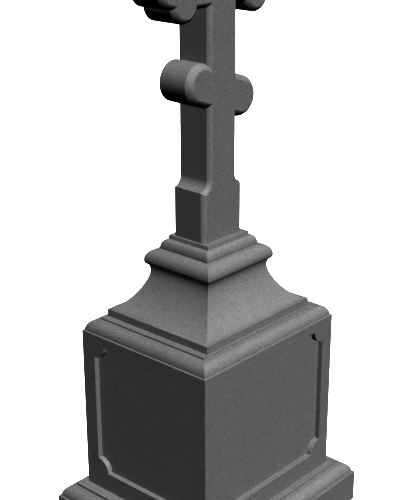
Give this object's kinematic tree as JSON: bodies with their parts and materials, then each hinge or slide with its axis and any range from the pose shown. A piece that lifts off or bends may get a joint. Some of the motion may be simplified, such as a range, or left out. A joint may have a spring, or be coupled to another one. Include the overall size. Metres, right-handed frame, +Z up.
{
  "type": "orthodox cross memorial",
  "caption": "Grave memorial: a budded Orthodox cross with a slanted foot bar on a moulded rectangular pedestal with sunk panels.",
  "frame": {"origin": "middle of the base's underside, on the ground", "axes": "+Z up, the front of the memorial looks along -Y, +X to the right of someone who faces it"},
  "size_m": [0.751, 0.634, 1.9699],
  "materials": {
    "granite_base": "fine honed grey granite",
    "granite_die": "fine honed grey granite",
    "granite_cap": "fine honed grey granite",
    "granite_cross": "fine honed grey granite"
  },
  "bodies": {
    "root": {"base": "granite_base", "die": "granite_die", "cap": "granite_cap", "cross": "granite_cross"}
  },
  "joints": []
}
